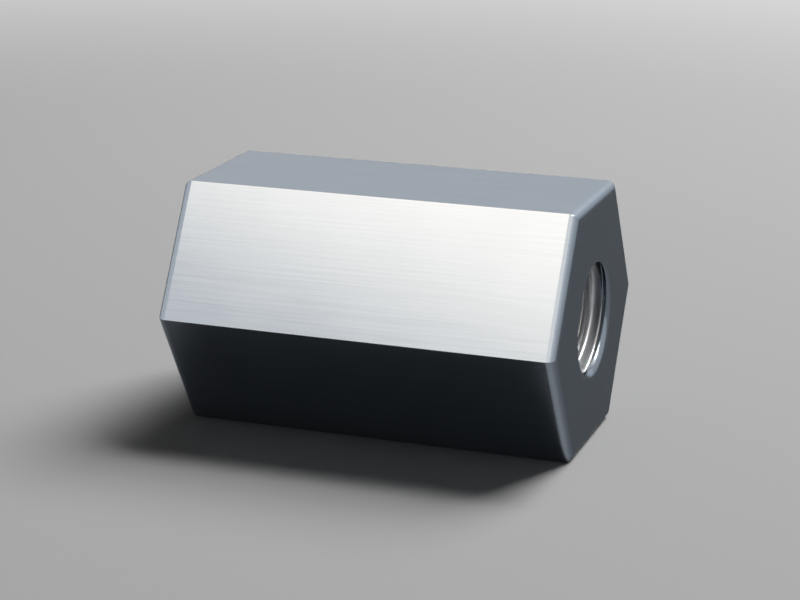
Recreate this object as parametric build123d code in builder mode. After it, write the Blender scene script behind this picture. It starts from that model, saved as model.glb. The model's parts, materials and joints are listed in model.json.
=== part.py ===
from build123d import *
import math
import os

# Coupling nut: a long hexagon nut that joins two threaded rods end to end.
# It lies on one of its flats, with the bore along X and the nut's centre at the origin.

# Driving dimensions, in millimetres
across_flats = 16.0
nut_length = 26.15
thread_d = 8.0
thread_pitch = 1.25
end_edge_r = 0.6

# The internal thread has the basic metric profile: five eighths of a sharp 60 degree thread is cut
# outwards from the bore, so the bore is the thread's minor diameter
sharp_thread_height = thread_pitch * math.sqrt(3) / 2
thread_depth = sharp_thread_height * 5 / 8
bore_d = thread_d - 2 * thread_depth

# Each mouth is rounded from the bore out to the thread's major diameter, so that a rod starts freely
mouth_r = thread_depth


# Nut body: hexagon bar, with flats above and below and long edges at the front and back
with BuildPart() as nut_body:
    with BuildSketch(Plane.YZ):
        RegularPolygon(radius=across_flats / 2, side_count=6, major_radius=False)
    extrude(amount=nut_length / 2, both=True)

    # The six edges round each end face are rounded and meet in mitres at the corners,
    # while the six long edges stay sharp, as they are on drawn bar
    end_faces = nut_body.faces().filter_by(Axis.X)
    fillet(end_faces.edges(), radius=end_edge_r)

    # Through bore
    right_end = Plane(origin=(nut_length / 2, 0, 0), x_dir=(0, 1, 0), z_dir=(1, 0, 0))
    with Locations(right_end):
        Hole(radius=bore_d / 2)

    # Rounded mouths, where the bore meets the two end faces
    bored_end_faces = nut_body.faces().filter_by(Axis.X)
    mouth_edges = bored_end_faces.edges().filter_by(GeomType.CIRCLE)
    fillet(mouth_edges, radius=mouth_r)

nut_body.part.label = "nut_body"
os.makedirs("parts", exist_ok=True)
export_step(nut_body.part, "parts/nut_body.step")
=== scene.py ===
"""A coupling nut with a tapped bore, in plated steel, and a plain studio, laid out as a Blender add-on."""

import json
import math

import bmesh
import bpy
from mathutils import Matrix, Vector


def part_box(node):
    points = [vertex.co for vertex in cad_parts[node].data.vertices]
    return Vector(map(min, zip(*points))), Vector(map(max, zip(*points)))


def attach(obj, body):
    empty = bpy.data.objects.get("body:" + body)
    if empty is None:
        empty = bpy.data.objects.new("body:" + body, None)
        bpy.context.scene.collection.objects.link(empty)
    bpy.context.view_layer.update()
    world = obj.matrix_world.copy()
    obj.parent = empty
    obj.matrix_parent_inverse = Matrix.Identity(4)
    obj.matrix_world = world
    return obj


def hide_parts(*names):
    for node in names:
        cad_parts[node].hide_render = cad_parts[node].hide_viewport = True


bl_info = {
    "name": "Coupling nut",
    "version": (1, 0, 0),
    "blender": (4, 5, 0),
    "location": "3D View > Sidebar > Coupling nut",
    "description": "Builds a tapped hexagon coupling nut in plated steel, on a pale studio floor",
    "category": "Add Mesh",
}

MILLIMETRE = 0.001
WHITE = (1.0, 1.0, 1.0)

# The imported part. Metres, with the bore along X and the nut's centre at the origin.
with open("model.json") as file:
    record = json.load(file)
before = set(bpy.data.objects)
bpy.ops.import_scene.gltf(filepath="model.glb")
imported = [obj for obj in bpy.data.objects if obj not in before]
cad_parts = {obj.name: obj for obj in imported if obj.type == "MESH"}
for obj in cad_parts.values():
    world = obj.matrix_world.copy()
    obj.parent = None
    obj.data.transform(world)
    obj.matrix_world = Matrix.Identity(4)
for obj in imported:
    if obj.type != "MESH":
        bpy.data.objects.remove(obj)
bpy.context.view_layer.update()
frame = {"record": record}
NUT_LOW, NUT_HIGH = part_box("nut_body")
THREAD_MOUNT = next(mount for mount in frame["record"]["mounts"] if mount["name"] == "thread_right")
BORE_WALL_END = THREAD_MOUNT["pos_m"][0]

HEXAGON_SIDES = 6

# Basic metric thread: the groove is five eighths of a sharp 60 degree thread deep. Across half a pitch,
# from the middle of the root to the middle of the crest, its flank starts and ends at these shares.
DEPTH_PER_PITCH = math.sqrt(3) / 2 * 5 / 8
ROOT_EDGE = 1 / 8
CREST_EDGE = 3 / 4

# Turns of the tap's grid past its reach, because the ends of the grid are slanted once it is wound
SPARE_TURNS = 2

# Points nearer than this, in metres, become one: first where the tap closes, then where it has cut the bar
TAP_SEAM = 1e-7
CUT_SEAM = 1e-6

# How far before the end face turned steel and its painted shade start and are complete, as shares of the
# end rounding
TURNED_AND_SHADED_START = 1 / 2
TURNED_AND_SHADED_FULL = 1 / 8

# The thread's steel fades out over this share of the mouth's rounding
THREAD_FADE = 1 / 4

# How far inside the sharp corner a long edge's painted highlight is full, as a share of its edge break
EDGE_HIGHLIGHT_FULL = 1 / 5

# Finer layers of the noise in the marks and patches, and its values at the darkest and lightest marks
NOISE_DETAIL = 2.0
DARKEST_MARK = 0.3
LIGHTEST_MARK = 0.7

# Where the lamp and the cards stand, all as far from the nut: degrees from its front towards its right
# end, degrees above the floor, and metres. A card's brightness is the studio setting of the same name, and
# its colour is the studio's card colour, apart from the white ones.
LIGHT_DISTANCE = 0.5
TOP_LIGHT = {"azimuth": 150, "elevation": 56, "width": 0.24, "height": 0.3}
CARDS = {
    "front_card": {"azimuth": -22, "elevation": 49.9, "width": 0.25, "height": 0.19},
    "back_card": {"azimuth": -177, "elevation": 16, "width": 0.62, "height": 0.23},
    "rear_card": {"azimuth": 180, "elevation": 56, "width": 0.8, "height": 0.2},
    "edge_card": {"azimuth": 27, "elevation": 38, "width": 0.36, "height": 0.2},
    "thread_card": {"azimuth": 95, "elevation": 57, "width": 0.3, "height": 0.2},
}
WHITE_CARDS = ("back_card", "thread_card")

# The camera's sensor, in its own millimetres, and the nearest thing that it sees
SENSOR_WIDTH = 36.0
NEAREST_SEEN = 5 * MILLIMETRE


# Node trees


class Wire:
    """An output socket of a node tree. Python's operators on wires add the Math nodes they stand for."""

    def __init__(self, tree, socket=None):
        self.tree = tree
        self.socket = socket

    def node(self, kind, settings=None, inputs=None, output=0):
        """Adds a node of any kind. Its settings come first, then the values or wires of its sockets."""
        made = self.tree.nodes.new(kind)
        for name, value in (settings or {}).items():
            setattr(made, name, value)
        for name, value in (inputs or {}).items():
            if isinstance(value, Wire):
                self.tree.links.new(value.socket, made.inputs[name])
            else:
                made.inputs[name].default_value = value
        return Wire(self.tree, made.outputs[output] if made.outputs else None)

    def outputs(self):
        """Every output of this wire's node, by name."""
        return {socket.name: Wire(self.tree, socket) for socket in self.socket.node.outputs}

    def math(self, operation, *others):
        """A Math node of any operation, whose first value is this wire."""
        return self.node("ShaderNodeMath", {"operation": operation}, dict(enumerate((self, *others))))

    def rise(self, low, high):
        """Goes smoothly from 0 at low to 1 at high, or the other way round where low is the larger."""
        return self.node("ShaderNodeMapRange", {"interpolation_type": "SMOOTHSTEP"}, {
            "Value": self,
            "From Min": low,
            "From Max": high,
        })

    def __add__(self, other):
        return self.math("ADD", other)

    def __sub__(self, other):
        return self.math("SUBTRACT", other)

    def __mul__(self, other):
        return self.math("MULTIPLY", other)

    def __truediv__(self, other):
        return self.math("DIVIDE", other)

    def __rsub__(self, other):
        return self.math("MULTIPLY_ADD", -1.0, other)

    def __neg__(self):
        return self.math("MULTIPLY", -1.0)

    def __abs__(self):
        return self.math("ABSOLUTE")

    __radd__ = __add__
    __rmul__ = __mul__


def tapped_bore_tree():
    """Geometry Nodes: a tap of the thread's own form is built round X and cuts the blank's bore."""
    tree = bpy.data.node_groups.new("Tapped bore", "GeometryNodeTree")
    for name, kind in (
        ("Geometry", "Geometry"),
        ("Crest Radius", "Float"),
        ("Thread Depth", "Float"),
        ("Pitch", "Float"),
        ("Reach", "Float"),
        ("Turns", "Int"),
        ("Steps Around", "Int"),
        ("Rows per Turn", "Int"),
        ("Root Softness", "Float"),
        ("Crest Softness", "Float"),
        ("Sharp Angle", "Float"),
        ("Material", "Material"),
    ):
        tree.interface.new_socket(name, in_out="INPUT", socket_type="NodeSocket" + kind)
    tree.interface.new_socket("Geometry", in_out="OUTPUT", socket_type="NodeSocketGeometry")

    add = Wire(tree).node
    given = add("NodeGroupInput").outputs()
    reach = given["Reach"]

    # A flat grid, with the share of a turn along its X and the pitches along the axis on its Y
    grid = add("GeometryNodeMeshGrid", inputs={
        "Size X": 1.0,
        "Size Y": given["Turns"],
        "Vertices X": given["Steps Around"] + 1,
        "Vertices Y": given["Turns"] * given["Rows per Turn"] + 1,
    })
    place = add("ShaderNodeSeparateXYZ", inputs={0: add("GeometryNodeInputPosition")}).outputs()
    turn, row = place["X"], place["Y"]

    # First from 0 in the middle of the root to 1 in the middle of the crest. Then how deep the groove is
    # there, from 0 on the flat crest to 1 in the root, with both edges softened.
    from_root = abs(row.math("FRACT") - 0.5) * 2.0
    groove = (CREST_EDGE - from_root) / (CREST_EDGE - ROOT_EDGE)
    groove = groove.math("SMOOTH_MIN", 1.0, given["Root Softness"])
    groove = groove.math("SMOOTH_MAX", 0.0, given["Crest Softness"])

    # Wound into a right-hand helix, each turn from +Y round to +Y. Past its reach every point falls to
    # the axis, which closes the ends.
    along = given["Pitch"] * (turn + row)
    angle = (turn + 0.5) * math.tau
    inside = abs(along).math("LESS_THAN", reach)
    radius = (given["Crest Radius"] + given["Thread Depth"] * groove) * inside
    wound = add("ShaderNodeCombineXYZ", inputs={
        "X": along.math("MINIMUM", reach).math("MAXIMUM", -reach),
        "Y": radius * angle.math("COSINE"),
        "Z": radius * angle.math("SINE"),
    })
    tap = add("GeometryNodeSetPosition", inputs={"Geometry": grid, "Position": wound})
    tap = add("GeometryNodeMergeByDistance", inputs={"Geometry": tap, "Distance": TAP_SEAM})

    tapped = add("GeometryNodeMeshBoolean", {"operation": "DIFFERENCE", "solver": "MANIFOLD"}, {
        "Mesh 1": given["Geometry"],
        "Mesh 2": tap,
    })
    tapped = add("GeometryNodeMergeByDistance", inputs={"Geometry": tapped, "Distance": CUT_SEAM})
    shaded = add("GeometryNodeSetShadeSmooth", {"domain": "FACE"}, {
        "Geometry": tapped,
        "Shade Smooth": True,
    })
    crease = add("GeometryNodeInputMeshEdgeAngle")
    shaded = add("GeometryNodeSetShadeSmooth", {"domain": "EDGE"}, {
        "Geometry": shaded,
        "Selection": crease.math("GREATER_THAN", given["Sharp Angle"]),
        "Shade Smooth": False,
    })
    finished = add("GeometryNodeRealizeInstances", inputs={"Geometry": shaded})
    finished = add("GeometryNodeSetMaterial", inputs={
        "Geometry": finished,
        "Material": given["Material"],
    })
    add("NodeGroupOutput", inputs={"Geometry": finished})
    return tree


# Sizes, finish and studio


class NutSizes(bpy.types.PropertyGroup):
    """Sizes of the nut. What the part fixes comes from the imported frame."""

    length: bpy.props.FloatProperty(
        name="Length", description="Over the two end faces",
        default=NUT_HIGH.x - NUT_LOW.x, unit="LENGTH", precision=5)
    across_flats: bpy.props.FloatProperty(
        name="Across flats", description="Width of the hexagon between opposite flats",
        default=NUT_HIGH.z - NUT_LOW.z, unit="LENGTH", precision=5)
    end_rounding: bpy.props.FloatProperty(
        name="End rounding", description="Radius of the six edges round each end face",
        default=0.6 * MILLIMETRE, unit="LENGTH", precision=5)
    edge_break: bpy.props.FloatProperty(
        name="Edge break", description="Radius that takes the burr off the long edges",
        default=0.05 * MILLIMETRE, unit="LENGTH", precision=5)
    crest_radius: bpy.props.FloatProperty(
        name="Crest radius", description="From the axis to the crests, which are the bore's wall",
        default=THREAD_MOUNT["dims"]["r_mm"] * MILLIMETRE, unit="LENGTH", precision=5)
    mouth_rounding: bpy.props.FloatProperty(
        name="Mouth rounding", description="Radius that opens each mouth from the bore to the end face",
        default=NUT_HIGH.x - BORE_WALL_END, unit="LENGTH", precision=5)
    pilot_step: bpy.props.FloatProperty(
        name="Pilot step", description="How much smaller the blank is drilled than the tap cuts",
        default=0.3 * MILLIMETRE, unit="LENGTH", precision=5)
    tap_oversize: bpy.props.FloatProperty(
        name="Tap oversize", description="How much larger the tap cuts than the mouths' narrow ends",
        default=0.001 * MILLIMETRE, unit="LENGTH", precision=6)
    pitch: bpy.props.FloatProperty(
        name="Thread pitch", description="Distance along the bore from one crest to the next",
        default=1.25 * MILLIMETRE, unit="LENGTH", precision=5)
    root_softness: bpy.props.FloatProperty(
        name="Root softness", description="Share of the groove's depth that rounds its root",
        default=0.4, min=0.0, max=1.0, subtype="FACTOR")
    crest_softness: bpy.props.FloatProperty(
        name="Crest softness", description="Share of the groove's depth that rounds the crests' edges",
        default=0.25, min=0.0, max=1.0, subtype="FACTOR")
    sharp_angle: bpy.props.FloatProperty(
        name="Sharp angle", description="Edges that turn by more than this are shaded as sharp",
        default=math.radians(28), subtype="ANGLE")
    steps_around: bpy.props.IntProperty(
        name="Steps around", description="Facets round the bore, a multiple of six", default=96, min=12)
    rows_per_turn: bpy.props.IntProperty(
        name="Rows per turn", description="Rows of facets across one pitch of the thread",
        default=32, min=8)
    rounding_steps: bpy.props.IntProperty(
        name="Rounding steps", description="Facets across each rounded edge", default=8, min=2)
    break_steps: bpy.props.IntProperty(
        name="Edge break steps", description="Facets across half a long edge", default=2, min=1)


class SteelFinish(bpy.types.PropertyGroup):
    """Colour and surface of the plated steel."""

    light_colour: bpy.props.FloatVectorProperty(
        name="Light colour", description="Metal colour where the plating is lightest",
        default=(0.350, 0.397, 0.452), subtype="COLOR", min=0.0, max=1.0)
    dark_colour: bpy.props.FloatVectorProperty(
        name="Dark colour", description="Metal colour where the plating is darkest",
        default=(0.318, 0.364, 0.418), subtype="COLOR", min=0.0, max=1.0)
    # Painted highlight: a lighter metal colour along the long edges
    edge_highlight_colour: bpy.props.FloatVectorProperty(
        name="Edge colour", description="Metal colour along the long edges, polished by handling",
        default=(0.38, 0.42, 0.465), subtype="COLOR", min=0.0, max=1.0)
    # Painted shade: a tint that darkens the colour of the end faces and mouths, standing in for their shade
    painted_shade_tint: bpy.props.FloatVectorProperty(
        name="Turned tint", description="Share of the colour that stays on the duller end faces",
        default=(0.62, 0.64, 0.66), subtype="COLOR", min=0.0, max=1.0)
    thread_colour: bpy.props.FloatVectorProperty(
        name="Thread colour", description="Metal colour of the thread, which is cut through the plating",
        default=(0.56, 0.57, 0.58), subtype="COLOR", min=0.0, max=1.0)
    glancing_tint: bpy.props.FloatVectorProperty(
        name="Glancing tint", description="How much of the reflection stays at a glancing angle",
        default=(0.4, 0.4, 0.4), subtype="COLOR", min=0.0, max=1.0)
    roughness: bpy.props.FloatProperty(
        name="Roughness", description="Middle value of the roughness on the flats",
        default=0.2, min=0.0, max=1.0, subtype="FACTOR")
    thread_roughness: bpy.props.FloatProperty(
        name="Thread roughness", description="Extra roughness that the tap leaves on the thread",
        default=0.2, min=0.0, max=1.0, subtype="FACTOR")
    mark_width: bpy.props.FloatProperty(
        name="Mark width", description="Width of one drawing line or turning mark",
        default=0.15 * MILLIMETRE, unit="LENGTH", precision=5)
    mark_stretch: bpy.props.FloatProperty(
        name="Mark stretch", description="How many times longer than wide a drawing line is",
        default=60.0, min=1.0)
    mark_contrast: bpy.props.FloatProperty(
        name="Mark contrast", description="How much the marks change the roughness",
        default=0.07, min=0.0, max=1.0, subtype="FACTOR")
    mark_colour: bpy.props.FloatProperty(
        name="Mark colour", description="Share of the marks in the plating's light and dark",
        default=0.6, min=0.0, max=1.0, subtype="FACTOR")
    mark_depth: bpy.props.FloatProperty(
        name="Mark depth", description="Depth of the marks", default=0.0005 * MILLIMETRE,
        unit="LENGTH", precision=6)
    cloud_width: bpy.props.FloatProperty(
        name="Cloud width", description="Width of a cloudy patch in the plating", default=5 * MILLIMETRE,
        unit="LENGTH", precision=5)
    cloud_contrast: bpy.props.FloatProperty(
        name="Cloud contrast", description="How much the patches change the roughness",
        default=0.06, min=0.0, max=1.0, subtype="FACTOR")


class StudioSettings(bpy.types.PropertyGroup):
    """Floor, backdrop, lights and camera."""

    floor_colour: bpy.props.FloatVectorProperty(
        name="Floor colour", description="Colour of the plain floor", default=(0.55, 0.55, 0.55),
        subtype="COLOR", min=0.0, max=1.0)
    floor_size: bpy.props.FloatProperty(
        name="Floor size", description="Side of the square floor", default=4.0, unit="LENGTH")
    backdrop_strength: bpy.props.FloatProperty(
        name="Backdrop", description="Brightness of the backdrop that the camera and the metal see",
        default=1.0, min=0.0, max=1.0)
    ambient_strength: bpy.props.FloatProperty(
        name="Ambient light", description="Brightness of the light that comes from all round",
        default=0.05, min=0.0)
    top_light: bpy.props.FloatProperty(
        name="Top light", description="Brightness of the light over the floor", default=10.6, min=0.0)
    front_card: bpy.props.FloatProperty(
        name="Front card", description="Brightness of the card that the upper front flat mirrors",
        default=2.3, min=0.0)
    back_card: bpy.props.FloatProperty(
        name="Back card", description="Brightness of the card that the top flat mirrors",
        default=0.75, min=0.0)
    rear_card: bpy.props.FloatProperty(
        name="Rear card", description="Brightness of the card that the upper back flat mirrors",
        default=1.2, min=0.0)
    edge_card: bpy.props.FloatProperty(
        name="Edge card", description="Brightness of the card in the front flat's right rounding",
        default=0.8, min=0.0)
    thread_card: bpy.props.FloatProperty(
        name="Thread card", description="Brightness of the card that shines into the thread",
        default=20.0, min=0.0)
    card_colour: bpy.props.FloatVectorProperty(
        name="Card colour", description="Colour of the cards that aren't white, warm beside the cool metal",
        default=(1.0, 0.81, 0.62), subtype="COLOR", min=0.0, max=1.0)
    floor_fade_start: bpy.props.FloatProperty(
        name="Fade start", description="Distance at which the floor starts to fade into the backdrop",
        default=0.1, unit="LENGTH")
    floor_fade_end: bpy.props.FloatProperty(
        name="Fade end", description="Distance at which the floor has the backdrop's brightness",
        default=0.35, unit="LENGTH")
    camera_azimuth: bpy.props.FloatProperty(
        name="Camera azimuth", description="Angle round the nut, from its front towards its right end",
        default=math.radians(20.0), subtype="ANGLE")
    camera_elevation: bpy.props.FloatProperty(
        name="Camera elevation", description="Angle above the floor", default=math.radians(16.71),
        subtype="ANGLE")
    camera_distance: bpy.props.FloatProperty(
        name="Camera distance", description="From the nut's centre", default=141.2 * MILLIMETRE,
        unit="LENGTH", precision=4)
    camera_lens: bpy.props.FloatProperty(
        name="Focal length", description="For the camera's 36 mm wide sensor", default=97.65,
        unit="CAMERA")


# Steel


def plated_steel(finish, sizes):
    """Bright plated steel: drawing lines on the flats, turning marks on the ends and in the bore, painted
    shade that darkens the ends and mouths, and a painted highlight on the long edges.
    """
    material = bpy.data.materials.new("plated_steel")
    material.use_nodes = True
    tree = material.node_tree
    tree.nodes.clear()
    add = Wire(tree).node
    place = add("ShaderNodeTexCoord").outputs()["Object"]
    axes = add("ShaderNodeSeparateXYZ", inputs={0: place}).outputs()
    from_middle = abs(axes["X"])
    from_axis = (axes["Y"] * axes["Y"] + axes["Z"] * axes["Z"]).math("SQRT")

    # Turned surfaces are the end faces, with the last of their roundings, and all that lies well inside
    # the flats. Besides their turning marks they get a painted shade, which darkens their colour
    half_length = sizes.length / 2
    apothem = sizes.across_flats / 2
    rounding = sizes.end_rounding
    on_end = from_middle.rise(half_length - rounding * TURNED_AND_SHADED_START, half_length - rounding * TURNED_AND_SHADED_FULL)
    in_bore = from_axis.rise(apothem - rounding, apothem - 2 * rounding)
    turned_and_shaded = on_end.math("MAXIMUM", in_bore)

    # The thread lies between the mouths and inside their wide ends
    wall_end = half_length - sizes.mouth_rounding
    mouth_radius = sizes.crest_radius + sizes.mouth_rounding
    fade = sizes.mouth_rounding * THREAD_FADE
    in_mouth = from_axis.math("LESS_THAN", mouth_radius + fade)
    in_thread = from_middle.rise(wall_end + fade, wall_end) * in_mouth

    # Drawing lines run along the bar, and turning marks run round the axis
    stretched = add("ShaderNodeMapping", inputs={
        "Vector": place,
        "Scale": (1 / finish.mark_stretch, 1.0, 1.0),
    })
    drawing = add("ShaderNodeTexNoise", inputs={
        "Vector": stretched,
        "Scale": 1 / finish.mark_width,
        "Detail": NOISE_DETAIL,
    })
    turning = add("ShaderNodeTexNoise", {"noise_dimensions": "1D"}, {
        "W": from_axis,
        "Scale": 1 / finish.mark_width,
        "Detail": NOISE_DETAIL,
    })
    marks = drawing + (turning - drawing) * turned_and_shaded
    clouds = add("ShaderNodeTexNoise", inputs={
        "Vector": place,
        "Scale": 1 / finish.cloud_width,
        "Detail": NOISE_DETAIL,
    })

    # A painted highlight lightens the long edges, which are the places furthest from the axis
    corner_radius = apothem / math.cos(math.pi / HEXAGON_SIDES)
    full_at = corner_radius - sizes.edge_break * EDGE_HIGHLIGHT_FULL
    painted_edge_highlight = from_axis.rise(corner_radius - sizes.edge_break, full_at)

    shade = marks.rise(DARKEST_MARK, LIGHTEST_MARK)
    plating = add("ShaderNodeMix", {"data_type": "RGBA"}, {
        "Factor": clouds + (shade - clouds) * finish.mark_colour,
        "A": (*finish.dark_colour, 1.0),
        "B": (*finish.light_colour, 1.0),
    }, output=2)
    # Painted shade: the end faces and mouths are darkened by multiplying their colour with the tint
    plating = add("ShaderNodeMix", {"data_type": "RGBA", "blend_type": "MULTIPLY"}, {
        "Factor": turned_and_shaded,
        "A": plating,
        "B": (*finish.painted_shade_tint, 1.0),
    }, output=2)
    # Painted highlight along the long edges
    colour = add("ShaderNodeMix", {"data_type": "RGBA"}, {
        "Factor": painted_edge_highlight,
        "A": plating,
        "B": (*finish.edge_highlight_colour, 1.0),
    }, output=2)
    colour = add("ShaderNodeMix", {"data_type": "RGBA"}, {
        "Factor": in_thread,
        "A": colour,
        "B": (*finish.thread_colour, 1.0),
    }, output=2)
    roughness = finish.roughness + in_thread * finish.thread_roughness
    roughness = roughness + (marks - 0.5) * finish.mark_contrast + (clouds - 0.5) * finish.cloud_contrast
    relief = add("ShaderNodeBump", inputs={"Distance": finish.mark_depth, "Height": marks})
    surface = add("ShaderNodeBsdfPrincipled", inputs={
        "Base Color": colour,
        "Metallic": 1.0,
        "Roughness": roughness,
        "Normal": relief,
        "Specular Tint": (*finish.glancing_tint, 1.0),
    })
    add("ShaderNodeOutputMaterial", inputs={"Surface": surface})
    return material


# The nut's blank


def quarter_round(radius, steps):
    """Pairs from one tangent to the other: how far the round is from its end and how far from its wall."""
    turns = [math.radians(90) * step / steps for step in range(steps + 1)]
    return [(radius * (1 - math.sin(turn)), radius * (1 - math.cos(turn))) for turn in turns]


def circle_ring(mesh, x, radius, count):
    """Points evenly round the axis, the first of them on +Y."""
    angles = [math.tau * index / count for index in range(count)]
    return [mesh.verts.new((x, radius * math.cos(angle), radius * math.sin(angle))) for angle in angles]


def hexagon_ring(mesh, x, apothem, edge_break, break_steps):
    """A hexagon with a small arc at each corner, from the middle of the arc on +Y."""
    half_corner = math.pi / HEXAGON_SIDES
    to_arc_centre = (apothem - edge_break) / math.cos(half_corner)
    points = []
    for corner in range(HEXAGON_SIDES):
        facing = math.tau * corner / HEXAGON_SIDES
        for step in range(-break_steps, break_steps + 1):
            angle = facing + half_corner * step / break_steps
            y = to_arc_centre * math.cos(facing) + edge_break * math.cos(angle)
            z = to_arc_centre * math.sin(facing) + edge_break * math.sin(angle)
            points.append(mesh.verts.new((x, y, z)))
    return points[break_steps:] + points[:break_steps]


def band(mesh, first, second):
    """Faces between two rings with as many points."""
    for index in range(len(first)):
        after = (index + 1) % len(first)
        mesh.faces.new((first[index], first[after], second[after], second[index]))


def end_face(mesh, outline, mouth):
    """Six flat faces, each from one side of the hexagon to its share of the mouth."""
    side_steps = len(outline) // HEXAGON_SIDES
    mouth_steps = len(mouth) // HEXAGON_SIDES
    for side in range(HEXAGON_SIDES):
        edge = [outline[(side * side_steps + step) % len(outline)] for step in range(side_steps + 1)]
        arc = [mouth[(side * mouth_steps + step) % len(mouth)] for step in range(mouth_steps + 1)]
        mesh.faces.new([*edge, *reversed(arc)])


def nut_end(mesh, sizes, sign):
    """
    One end, from the flats over the end face into the pilot hole. The sign is 1 for the right end and -1
    for the left. Gives the end's first and last ring.
    """
    half_length = sizes.length / 2
    outlines = [
        hexagon_ring(mesh, sign * (half_length - inset), sizes.across_flats / 2 - drop,
                     sizes.edge_break, sizes.break_steps)
        for inset, drop in quarter_round(sizes.end_rounding, sizes.rounding_steps)
    ]
    mouths = [
        circle_ring(mesh, sign * (half_length - inset), sizes.crest_radius + flare, sizes.steps_around)
        for inset, flare in reversed(quarter_round(sizes.mouth_rounding, sizes.rounding_steps))
    ]
    wall_end = sign * (half_length - sizes.mouth_rounding)
    mouths.append(circle_ring(mesh, wall_end, sizes.crest_radius - sizes.pilot_step, sizes.steps_around))
    for rings in (outlines, mouths):
        for first, second in zip(rings, rings[1:]):
            band(mesh, first, second)
    end_face(mesh, outlines[-1], mouths[0])
    return outlines[0], mouths[-1]


def nut_blank(sizes):
    """The hexagon bar with its rounded ends and mouths and a pilot hole, as one closed mesh."""
    mesh = bmesh.new()
    right_outline, right_hole = nut_end(mesh, sizes, 1)
    left_outline, left_hole = nut_end(mesh, sizes, -1)
    band(mesh, right_outline, left_outline)
    band(mesh, right_hole, left_hole)
    bmesh.ops.recalc_face_normals(mesh, faces=mesh.faces)
    data = bpy.data.meshes.new("nut_blank")
    mesh.to_mesh(data)
    mesh.free()
    return data


def plain_copy(context, source, name):
    """The source with its modifiers worked out, as an object with a plain mesh. The source is removed."""
    graph = context.evaluated_depsgraph_get()
    data = bpy.data.meshes.new_from_object(
        source.evaluated_get(graph), preserve_all_data_layers=True, depsgraph=graph)
    bpy.data.objects.remove(source)
    if not data.polygons:
        raise RuntimeError(name + " came out empty")
    made = bpy.data.objects.new(name, data)
    context.scene.collection.objects.link(made)
    return made


class COUPLINGNUT_OT_build_nut(bpy.types.Operator):
    """Build the nut: the hexagon blank, the thread tapped through its bore, and its steel"""

    bl_idname = "coupling_nut.build_nut"
    bl_label = "Build nut"

    def execute(self, context):
        sizes = context.scene.nut_sizes
        steel = plated_steel(context.scene.steel_finish, sizes)
        blank = bpy.data.objects.new("nut_blank", nut_blank(sizes))
        blank.data.materials.append(steel)
        context.scene.collection.objects.link(blank)

        tapping = blank.modifiers.new("Tapped bore", "NODES")
        tapping.node_group = tapped_bore_tree()
        reach = sizes.length / 2 + sizes.pitch
        values = {
            "Crest Radius": sizes.crest_radius + sizes.tap_oversize,
            "Thread Depth": sizes.pitch * DEPTH_PER_PITCH,
            "Pitch": sizes.pitch,
            "Reach": reach,
            "Turns": 2 * math.ceil(reach / sizes.pitch) + SPARE_TURNS,
            "Steps Around": sizes.steps_around,
            "Rows per Turn": sizes.rows_per_turn,
            "Root Softness": sizes.root_softness,
            "Crest Softness": sizes.crest_softness,
            "Sharp Angle": sizes.sharp_angle,
            "Material": steel,
        }
        for item in tapping.node_group.interface.items_tree:
            if item.name in values:
                tapping[item.identifier] = values[item.name]

        # Large flat faces keep their own direction beside a rounded edge
        flats = blank.modifiers.new("Flat faces", "WEIGHTED_NORMAL")
        flats.keep_sharp = True

        nut = plain_copy(context, blank, "tapped_nut")
        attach(nut, "root")
        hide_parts("nut_body")
        return {"FINISHED"}


# The studio


def towards(azimuth, elevation):
    """Direction from the nut, at an angle from its front towards its right end and one above the floor."""
    return Vector((
        math.sin(azimuth) * math.cos(elevation),
        -math.cos(azimuth) * math.cos(elevation),
        math.sin(elevation),
    ))


def aim_at_nut(placed, azimuth, elevation, distance):
    """Puts a lamp or camera at that distance and points it at the nut's centre."""
    direction = towards(azimuth, elevation)
    placed.location = direction * distance
    placed.rotation_euler = direction.to_track_quat("Z", "Y").to_euler()


def soft_light(context, name, azimuth, elevation, width, height, radiance):
    """A rectangular lamp that faces the nut. Its face is as bright as radiance says, where 1 is white."""
    lamp = bpy.data.lights.new(name, "AREA")
    lamp.shape = "RECTANGLE"
    lamp.size = width
    lamp.size_y = height
    lamp.energy = radiance * math.pi * width * height
    placed = bpy.data.objects.new(name, lamp)
    aim_at_nut(placed, math.radians(azimuth), math.radians(elevation), LIGHT_DISTANCE)
    context.scene.collection.objects.link(placed)
    return placed


def before_matt_surface(add):
    """1 for rays that have met only metal or glass, and 0 once they have met a matt surface."""
    return add("ShaderNodeLightPath").outputs()["Diffuse Depth"].math("LESS_THAN", 1.0)


def reflector_card(context, name, colour, **place):
    """A soft light that only shows as a reflection in the metal and gives the floor nothing."""
    card = soft_light(context, name, **place)
    card.visible_diffuse = False
    lamp = card.data
    lamp.color = colour
    lamp.use_nodes = True
    lamp.node_tree.nodes.clear()
    add = Wire(lamp.node_tree).node
    light = add("ShaderNodeEmission", inputs={"Strength": before_matt_surface(add)})
    add("ShaderNodeOutputLight", inputs={"Surface": light})


def seen_directly(add):
    """1 for the rays that the camera, the metal or glass see by, and 0 for those that light things."""
    rays = add("ShaderNodeLightPath").outputs()
    seen = rays["Is Camera Ray"].math("MAXIMUM", rays["Is Glossy Ray"])
    seen = seen.math("MAXIMUM", rays["Is Transmission Ray"])
    return seen * before_matt_surface(add)


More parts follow.
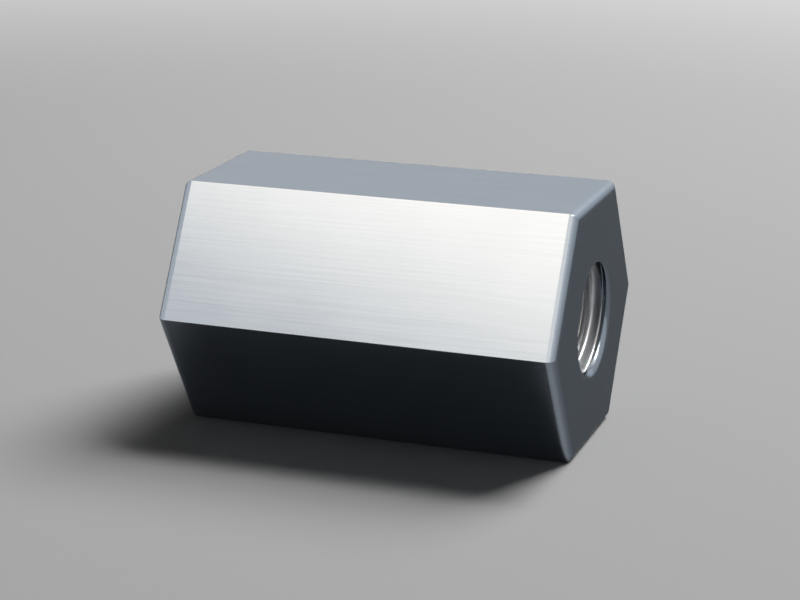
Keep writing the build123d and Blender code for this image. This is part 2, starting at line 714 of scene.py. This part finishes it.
def plain_floor(context, studio):
    """A plain, matt, pale floor under the nut, which fades into the backdrop far away."""
    half = studio.floor_size / 2
    data = bpy.data.meshes.new("floor")
    corners = [(-half, -half), (half, -half), (half, half), (-half, half)]
    data.from_pydata([(x, y, NUT_LOW.z) for x, y in corners], [], [(0, 1, 2, 3)])
    floor = bpy.data.objects.new("floor", data)
    context.scene.collection.objects.link(floor)
    material = bpy.data.materials.new("pale_floor")
    material.use_nodes = True
    material.node_tree.nodes.clear()
    add = Wire(material.node_tree).node
    surface = add("ShaderNodeBsdfDiffuse", inputs={"Color": (*studio.floor_colour, 1.0)})
    place = add("ShaderNodeTexCoord").outputs()["Object"]
    distance = add("ShaderNodeVectorMath", {"operation": "LENGTH"}, {0: place}, output=1)
    fade = distance.rise(studio.floor_fade_start, studio.floor_fade_end) * seen_directly(add)
    far = add("ShaderNodeEmission", inputs={"Strength": studio.backdrop_strength})
    surface = add("ShaderNodeMixShader", inputs={0: fade, 1: surface, 2: far})
    add("ShaderNodeOutputMaterial", inputs={"Surface": surface})
    data.materials.append(material)


def pale_backdrop(context, studio):
    """A world that looks pale to the camera and in the metal, and gives a little light from all round."""
    world = bpy.data.worlds.new("pale_backdrop")
    world.use_nodes = True
    world.node_tree.nodes.clear()
    add = Wire(world.node_tree).node
    extra = studio.backdrop_strength - studio.ambient_strength
    strength = studio.ambient_strength + seen_directly(add) * extra
    light = add("ShaderNodeBackground", inputs={"Color": (*WHITE, 1.0), "Strength": strength})
    add("ShaderNodeOutputWorld", inputs={"Surface": light})
    context.scene.world = world


def studio_camera(context, studio):
    """The camera, at the photograph's angle and distance."""
    data = bpy.data.cameras.new("camera")
    data.sensor_width = SENSOR_WIDTH
    data.lens = studio.camera_lens
    data.clip_start = NEAREST_SEEN
    camera = bpy.data.objects.new("camera", data)
    aim_at_nut(camera, studio.camera_azimuth, studio.camera_elevation, studio.camera_distance)
    context.scene.collection.objects.link(camera)
    context.scene.camera = camera


class COUPLINGNUT_OT_build_studio(bpy.types.Operator):
    """Build the studio: a plain pale floor and backdrop, soft lights and the camera"""

    bl_idname = "coupling_nut.build_studio"
    bl_label = "Build studio"

    def execute(self, context):
        studio = context.scene.studio_settings
        context.scene.view_settings.view_transform = "Standard"
        plain_floor(context, studio)
        pale_backdrop(context, studio)
        top_light = soft_light(context, "top_light", radiance=studio.top_light, **TOP_LIGHT)

        # The bright lamp lights the floor, and the metal mirrors the cards in its place
        top_light.visible_glossy = False
        for name, place in CARDS.items():
            colour = WHITE if name in WHITE_CARDS else studio.card_colour
            reflector_card(context, name, colour, radiance=getattr(studio, name), **place)
        studio_camera(context, studio)
        return {"FINISHED"}


class COUPLINGNUT_PT_panel(bpy.types.Panel):
    """The nut's sizes, its steel and its studio"""

    bl_idname = "COUPLINGNUT_PT_panel"
    bl_label = "Coupling nut"
    bl_space_type = "VIEW_3D"
    bl_region_type = "UI"
    bl_category = "Coupling nut"

    def draw(self, context):
        for group in GROUPS:
            box = self.layout.box()
            box.label(text=group.replace("_", " ").capitalize())
            settings = getattr(context.scene, group)
            for name in settings.__annotations__:
                box.prop(settings, name)
        for operator in OPERATORS:
            self.layout.operator(operator.bl_idname)


GROUPS = {"nut_sizes": NutSizes, "steel_finish": SteelFinish, "studio_settings": StudioSettings}
OPERATORS = (COUPLINGNUT_OT_build_nut, COUPLINGNUT_OT_build_studio)
CLASSES = (*GROUPS.values(), *OPERATORS, COUPLINGNUT_PT_panel)


def register():
    for cls in CLASSES:
        bpy.utils.register_class(cls)
    for name, group in GROUPS.items():
        setattr(bpy.types.Scene, name, bpy.props.PointerProperty(type=group))


def unregister():
    for name in GROUPS:
        delattr(bpy.types.Scene, name)
    for cls in reversed(CLASSES):
        bpy.utils.unregister_class(cls)


def main():
    register()
    bpy.ops.coupling_nut.build_nut()
    bpy.ops.coupling_nut.build_studio()


if __name__ == "__main__":
    main()
